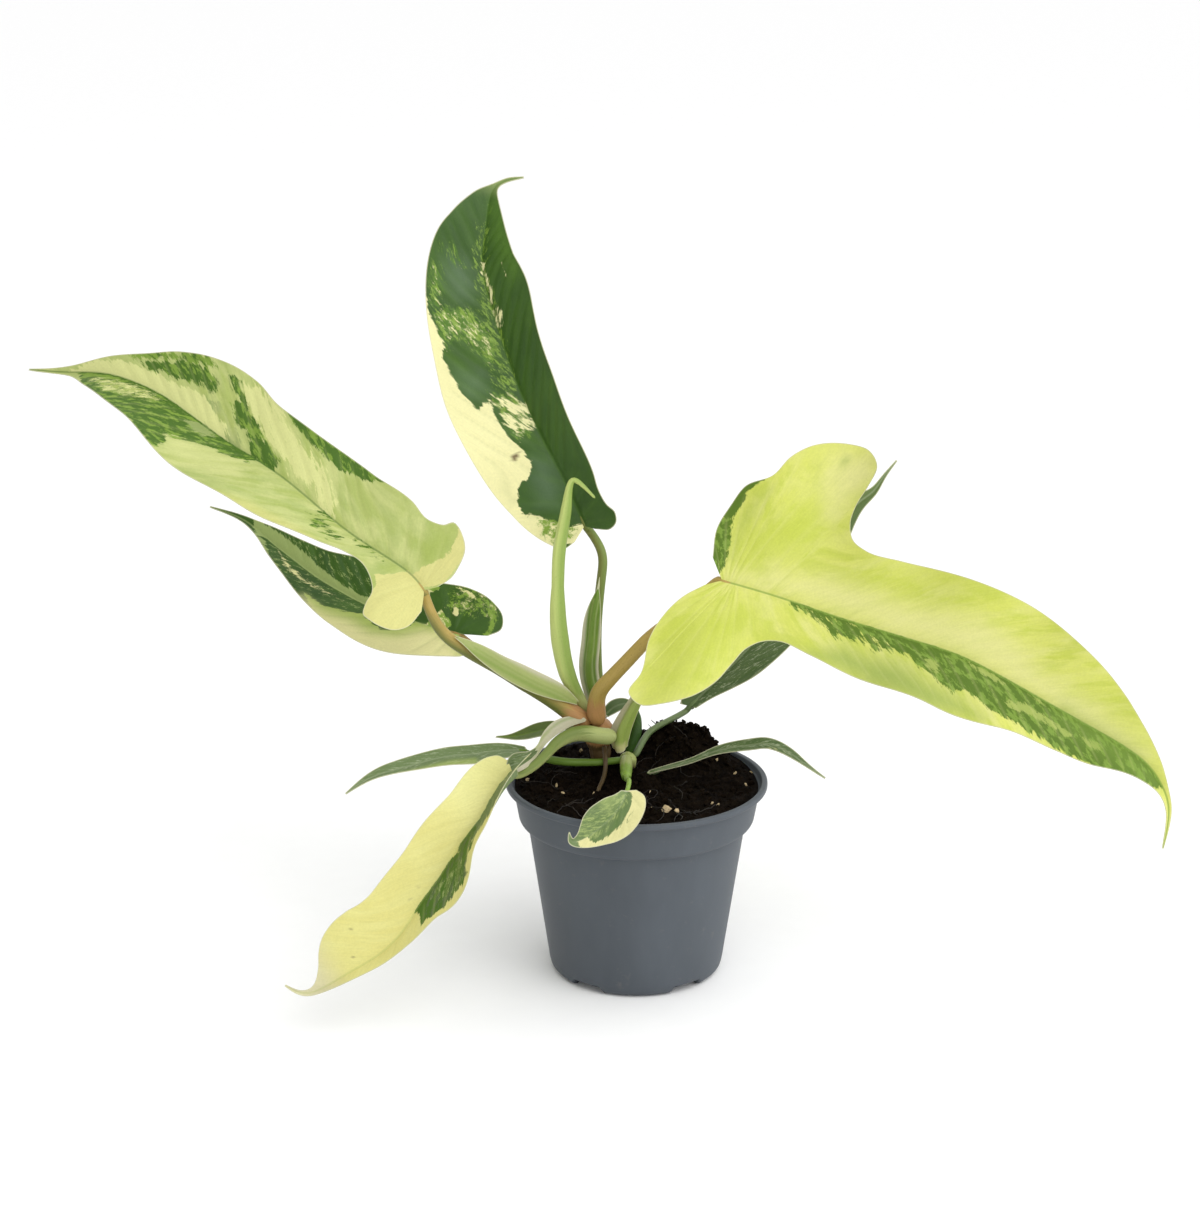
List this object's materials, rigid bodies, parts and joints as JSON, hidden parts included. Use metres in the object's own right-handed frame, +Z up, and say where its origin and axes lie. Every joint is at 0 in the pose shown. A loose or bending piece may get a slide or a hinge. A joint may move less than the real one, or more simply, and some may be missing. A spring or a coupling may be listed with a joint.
{
  "type": "potted philodendron plant",
  "caption": "Variegated lobed-leaf philodendron growing from moist soil in a dark grey plastic nursery pot; a house plant that stands on a flat surface",
  "frame": {"origin": "middle of the pot's underside, on the surface it stands on", "axes": "+Z up along the pot's axis; -Y is the side seen in the picture; +X is to the right in the picture, along the plant's widest spread"},
  "size_m": [0.5113, 0.2167, 0.3554],
  "materials": {
    "pot": "matt moulded plastic",
    "soil": "loose moist peat and bark mix, rough",
    "main_stem": "smooth waxy stem",
    "side_stem": "smooth waxy stem",
    "top_leaf": "waxy leaf, half gloss, cream margin",
    "top_leaf_stalk": "smooth leaf stalk",
    "left_leaf": "waxy leaf, half gloss, green and cream patches",
    "left_leaf_stalk": "smooth leaf stalk",
    "left_leaf_sheath": "thin papery sheath",
    "back_left_leaf": "waxy leaf, half gloss, cream lower half",
    "back_left_leaf_stalk": "smooth leaf stalk",
    "right_leaf": "waxy leaf, half gloss, dark speckled band",
    "right_leaf_stalk": "smooth leaf stalk",
    "back_right_leaf": "waxy leaf, pale speckles",
    "back_right_leaf_stalk": "smooth leaf stalk",
    "front_left_leaf": "waxy leaf, half gloss, dark right half",
    "front_left_leaf_stalk": "smooth leaf stalk",
    "front_left_leaf_sheath": "thin papery sheath",
    "low_left_leaf": "waxy leaf",
    "low_left_leaf_stalk": "smooth leaf stalk",
    "small_back_left_leaf": "waxy leaf",
    "small_back_left_leaf_stalk": "smooth leaf stalk",
    "small_front_leaf": "waxy leaf, pale lower edge",
    "small_front_leaf_stalk": "smooth leaf stalk",
    "strap_leaf": "waxy leaf, pale stripes",
    "strap_leaf_stalk": "smooth leaf stalk",
    "small_back_leaf": "waxy leaf",
    "small_back_leaf_stalk": "smooth leaf stalk",
    "new_leaf_spear": "smooth rolled leaf",
    "tall_sheath": "thin papery sheath",
    "side_sheath": "thin papery sheath",
    "side_bud": "smooth bud",
    "aerial_root": "dull root skin"
  },
  "bodies": {
    "root": {"pot": "pot", "soil": "soil", "main_stem": "main_stem", "side_stem": "side_stem", "top_leaf": "top_leaf", "top_leaf_stalk": "top_leaf_stalk", "left_leaf": "left_leaf", "left_leaf_stalk": "left_leaf_stalk", "left_leaf_sheath": "left_leaf_sheath", "back_left_leaf": "back_left_leaf", "back_left_leaf_stalk": "back_left_leaf_stalk", "right_leaf": "right_leaf", "right_leaf_stalk": "right_leaf_stalk", "back_right_leaf": "back_right_leaf", "back_right_leaf_stalk": "back_right_leaf_stalk", "front_left_leaf": "front_left_leaf", "front_left_leaf_stalk": "front_left_leaf_stalk", "front_left_leaf_sheath": "front_left_leaf_sheath", "low_left_leaf": "low_left_leaf", "low_left_leaf_stalk": "low_left_leaf_stalk", "small_back_left_leaf": "small_back_left_leaf", "small_back_left_leaf_stalk": "small_back_left_leaf_stalk", "small_front_leaf": "small_front_leaf", "small_front_leaf_stalk": "small_front_leaf_stalk", "strap_leaf": "strap_leaf", "strap_leaf_stalk": "strap_leaf_stalk", "small_back_leaf": "small_back_leaf", "small_back_leaf_stalk": "small_back_leaf_stalk", "new_leaf_spear": "new_leaf_spear", "tall_sheath": "tall_sheath", "side_sheath": "side_sheath", "side_bud": "side_bud", "aerial_root": "aerial_root"}
  },
  "joints": []
}
